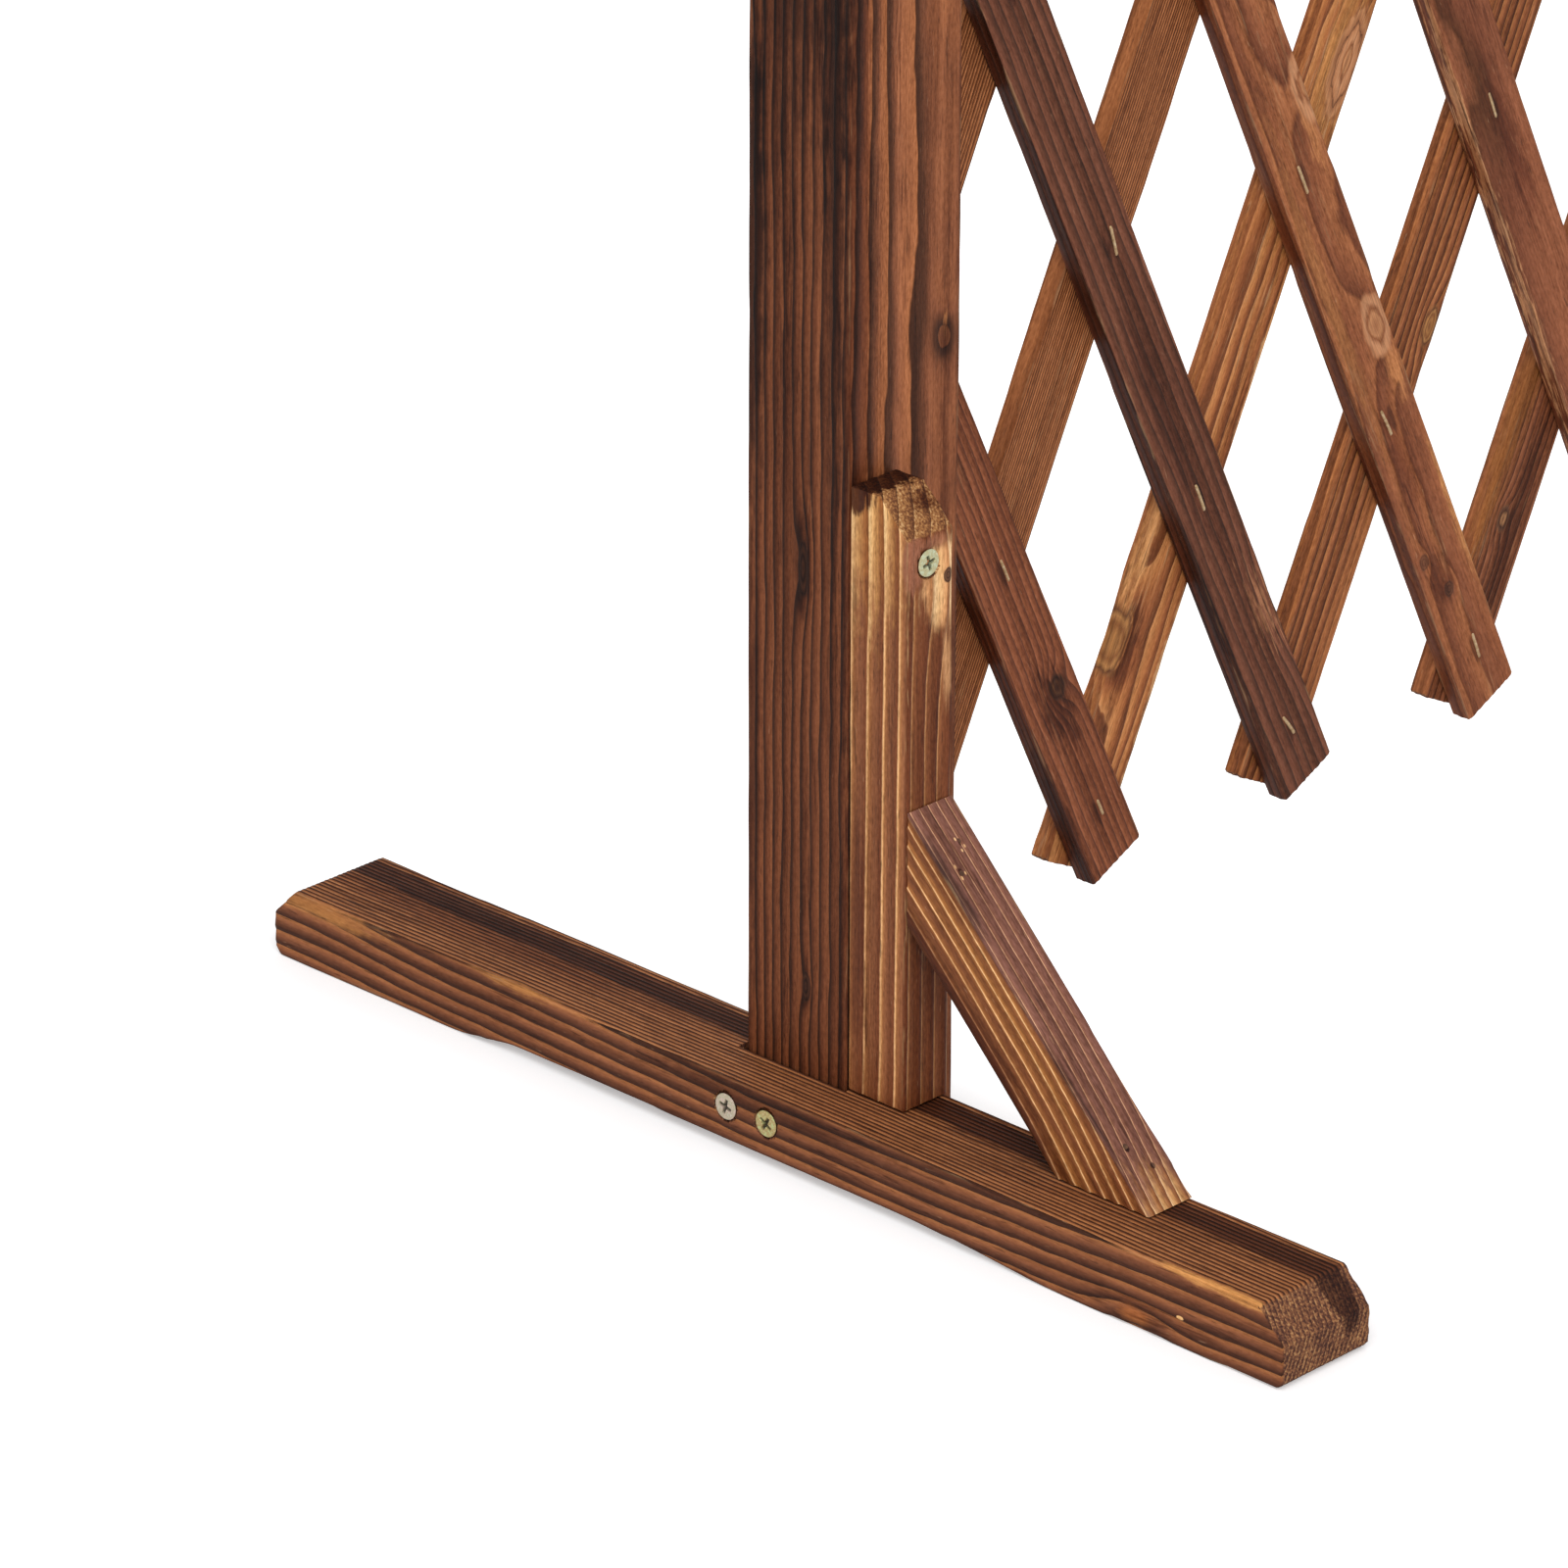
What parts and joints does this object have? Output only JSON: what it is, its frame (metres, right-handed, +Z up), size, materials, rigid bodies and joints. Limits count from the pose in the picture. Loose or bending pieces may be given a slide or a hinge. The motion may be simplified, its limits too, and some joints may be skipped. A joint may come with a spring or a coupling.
{
  "type": "expandable wooden trellis",
  "caption": "Expandable garden trellis: a scissor lattice of crossed wooden slats between grooved posts on braced feet, which opens and folds along its length.",
  "frame": {"origin": "on the ground, midway between the two posts, under their centre line", "axes": "+X along the fence to the right as seen from the front, +Y to the rear (the braces are on the -Y side), +Z up"},
  "size_m": [0.9806, 0.5, 1],
  "materials": {
    "post_wood": "scorched and brushed softwood, dark",
    "foot_wood": "scorched and brushed softwood, dark",
    "block_wood": "scorched and brushed softwood, golden",
    "brace_wood": "scorched and brushed softwood, golden",
    "front_slat_wood": "scorched and brushed softwood",
    "back_slat_wood": "scorched and brushed softwood",
    "screw_zinc": "yellow-passivated zinc",
    "nail_wire": "dull bright wire"
  },
  "bodies": {
    "left_frame": {"left_foot": "foot_wood", "left_post": "post_wood", "left_block": "block_wood", "left_brace": "brace_wood", "left_foot_screw_rear": "screw_zinc", "left_foot_screw_front": "screw_zinc", "left_block_screw": "screw_zinc", "left_base_screw": "screw_zinc", "left_upper_brad_1": "nail_wire", "left_upper_brad_2": "nail_wire", "left_lower_brad_1": "nail_wire", "left_lower_brad_2": "nail_wire", "left_lattice_pin": "nail_wire"},
    "right_frame": {"right_foot": "foot_wood", "right_post": "post_wood", "right_block": "block_wood", "right_brace": "brace_wood", "right_foot_screw_rear": "screw_zinc", "right_foot_screw_front": "screw_zinc", "right_block_screw": "screw_zinc", "right_base_screw": "screw_zinc", "right_upper_brad_1": "nail_wire", "right_upper_brad_2": "nail_wire", "right_lower_brad_1": "nail_wire", "right_lower_brad_2": "nail_wire", "right_lattice_pin": "nail_wire"},
    "front_slat_1": {"front_slat_1": "front_slat_wood"},
    "front_slat_2": {"front_slat_2": "front_slat_wood"},
    "front_slat_3": {"front_slat_3": "front_slat_wood"},
    "front_slat_4": {"front_slat_4": "front_slat_wood"},
    "front_slat_5": {"front_slat_5": "front_slat_wood"},
    "front_slat_6": {"front_slat_6": "front_slat_wood"},
    "front_slat_7": {"front_slat_7": "front_slat_wood"},
    "front_slat_8": {"front_slat_8": "front_slat_wood"},
    "front_slat_9": {"front_slat_9": "front_slat_wood"},
    "front_slat_10": {"front_slat_10": "front_slat_wood"},
    "front_slat_11": {"front_slat_11": "front_slat_wood"},
    "back_slat_1": {"back_slat_1": "back_slat_wood"},
    "back_slat_2": {"back_slat_2": "back_slat_wood"},
    "back_slat_3": {"back_slat_3": "back_slat_wood"},
    "back_slat_4": {"back_slat_4": "back_slat_wood"},
    "back_slat_5": {"back_slat_5": "back_slat_wood"},
    "back_slat_6": {"back_slat_6": "back_slat_wood"},
    "back_slat_7": {"back_slat_7": "back_slat_wood"},
    "back_slat_8": {"back_slat_8": "back_slat_wood"},
    "back_slat_9": {"back_slat_9": "back_slat_wood"},
    "back_slat_10": {"back_slat_10": "back_slat_wood"},
    "back_slat_11": {"back_slat_11": "back_slat_wood"}
  },
  "joints": [
    {"name": "lattice_opening", "type": "hinge", "parent": "left_frame", "child": "back_slat_3", "pos_m": [-0.42282, 0, 0.29519], "axis": [0, 1, 0], "range_deg": [-17.5, 34]},
    {"name": "front_slat_1_nail", "type": "hinge", "parent": "back_slat_3", "child": "front_slat_1", "pos_m": [-0.42282, 0, 0.29519], "axis": [0, 1, 0], "range_deg": [-68, 35]},
    {"name": "front_slat_2_nail", "type": "hinge", "parent": "back_slat_3", "child": "front_slat_2", "pos_m": [-0.36997, 0, 0.40404], "axis": [0, 1, 0], "range_deg": [-68, 35]},
    {"name": "front_slat_3_nail", "type": "hinge", "parent": "back_slat_3", "child": "front_slat_3", "pos_m": [-0.31712, 0, 0.51289], "axis": [0, 1, 0], "range_deg": [-68, 35]},
    {"name": "front_slat_4_nail", "type": "hinge", "parent": "back_slat_3", "child": "front_slat_4", "pos_m": [-0.26427, 0, 0.62173], "axis": [0, 1, 0], "range_deg": [-68, 35]},
    {"name": "front_slat_5_nail", "type": "hinge", "parent": "back_slat_3", "child": "front_slat_5", "pos_m": [-0.21141, 0, 0.73058], "axis": [0, 1, 0], "range_deg": [-68, 35]},
    {"name": "front_slat_6_nail", "type": "hinge", "parent": "back_slat_3", "child": "front_slat_6", "pos_m": [-0.15856, 0, 0.83942], "axis": [0, 1, 0], "range_deg": [-68, 35]},
    {"name": "front_slat_7_nail", "type": "hinge", "parent": "back_slat_3", "child": "front_slat_7", "pos_m": [-0.10571, 0, 0.94827], "axis": [0, 1, 0], "range_deg": [-68, 35]},
    {"name": "back_slat_4_nail", "type": "hinge", "parent": "front_slat_7", "child": "back_slat_4", "pos_m": [-0.05285, 0, 0.83942], "axis": [0, 1, 0], "range_deg": [-35, 68]},
    {"name": "back_slat_5_nail", "type": "hinge", "parent": "front_slat_7", "child": "back_slat_5", "pos_m": [0, 0, 0.73058], "axis": [0, 1, 0], "range_deg": [-35, 68]},
    {"name": "back_slat_6_nail", "type": "hinge", "parent": "front_slat_7", "child": "back_slat_6", "pos_m": [0.05285, 0, 0.62173], "axis": [0, 1, 0], "range_deg": [-35, 68]},
    {"name": "back_slat_7_nail", "type": "hinge", "parent": "front_slat_7", "child": "back_slat_7", "pos_m": [0.10571, 0, 0.51289], "axis": [0, 1, 0], "range_deg": [-35, 68]},
    {"name": "back_slat_8_nail", "type": "hinge", "parent": "front_slat_7", "child": "back_slat_8", "pos_m": [0.15856, 0, 0.40404], "axis": [0, 1, 0], "range_deg": [-35, 68]},
    {"name": "back_slat_9_nail", "type": "hinge", "parent": "front_slat_7", "child": "back_slat_9", "pos_m": [0.21141, 0, 0.29519], "axis": [0, 1, 0], "range_deg": [-35, 68]},
    {"name": "back_slat_10_nail", "type": "hinge", "parent": "front_slat_7", "child": "back_slat_10", "pos_m": [0.26427, 0, 0.18635], "axis": [0, 1, 0], "range_deg": [-35, 68]},
    {"name": "back_slat_11_nail", "type": "hinge", "parent": "front_slat_7", "child": "back_slat_11", "pos_m": [0.31712, 0, 0.0775], "axis": [0, 1, 0], "range_deg": [-35, 68]},
    {"name": "front_slat_8_nail", "type": "hinge", "parent": "back_slat_11", "child": "front_slat_8", "pos_m": [0.36997, 0, 0.18635], "axis": [0, 1, 0], "range_deg": [-68, 35]},
    {"name": "front_slat_9_nail", "type": "hinge", "parent": "back_slat_11", "child": "front_slat_9", "pos_m": [0.42282, 0, 0.29519], "axis": [0, 1, 0], "range_deg": [-68, 35]},
    {"name": "front_slat_10_nail", "type": "hinge", "parent": "back_slat_9", "child": "front_slat_10", "pos_m": [0.36997, 0, 0.62173], "axis": [0, 1, 0], "range_deg": [-68, 35]},
    {"name": "front_slat_11_nail", "type": "hinge", "parent": "back_slat_8", "child": "front_slat_11", "pos_m": [0.36997, 0, 0.83942], "axis": [0, 1, 0], "range_deg": [-68, 35]},
    {"name": "back_slat_2_nail", "type": "hinge", "parent": "front_slat_3", "child": "back_slat_2", "pos_m": [-0.36997, 0, 0.62173], "axis": [0, 1, 0], "range_deg": [-35, 68]},
    {"name": "back_slat_1_nail", "type": "hinge", "parent": "front_slat_4", "child": "back_slat_1", "pos_m": [-0.36997, 0, 0.83942], "axis": [0, 1, 0], "range_deg": [-35, 68]},
    {"name": "right_frame_pin", "type": "hinge", "parent": "back_slat_11", "child": "right_frame", "pos_m": [0.42282, 0, 0.29519], "axis": [0, 1, 0], "range_deg": [-34, 17.5]}
  ],
  "couplings": [
    {"joint": "front_slat_1_nail", "follows": "lattice_opening", "ratio": -2},
    {"joint": "front_slat_2_nail", "follows": "lattice_opening", "ratio": -2},
    {"joint": "front_slat_3_nail", "follows": "lattice_opening", "ratio": -2},
    {"joint": "front_slat_4_nail", "follows": "lattice_opening", "ratio": -2},
    {"joint": "front_slat_5_nail", "follows": "lattice_opening", "ratio": -2},
    {"joint": "front_slat_6_nail", "follows": "lattice_opening", "ratio": -2},
    {"joint": "front_slat_7_nail", "follows": "lattice_opening", "ratio": -2},
    {"joint": "back_slat_4_nail", "follows": "lattice_opening", "ratio": 2},
    {"joint": "back_slat_5_nail", "follows": "lattice_opening", "ratio": 2},
    {"joint": "back_slat_6_nail", "follows": "lattice_opening", "ratio": 2},
    {"joint": "back_slat_7_nail", "follows": "lattice_opening", "ratio": 2},
    {"joint": "back_slat_8_nail", "follows": "lattice_opening", "ratio": 2},
    {"joint": "back_slat_9_nail", "follows": "lattice_opening", "ratio": 2},
    {"joint": "back_slat_10_nail", "follows": "lattice_opening", "ratio": 2},
    {"joint": "back_slat_11_nail", "follows": "lattice_opening", "ratio": 2},
    {"joint": "front_slat_8_nail", "follows": "lattice_opening", "ratio": -2},
    {"joint": "front_slat_9_nail", "follows": "lattice_opening", "ratio": -2},
    {"joint": "front_slat_10_nail", "follows": "lattice_opening", "ratio": -2},
    {"joint": "front_slat_11_nail", "follows": "lattice_opening", "ratio": -2},
    {"joint": "back_slat_2_nail", "follows": "lattice_opening", "ratio": 2},
    {"joint": "back_slat_1_nail", "follows": "lattice_opening", "ratio": 2},
    {"joint": "right_frame_pin", "follows": "lattice_opening", "ratio": -1}
  ]
}
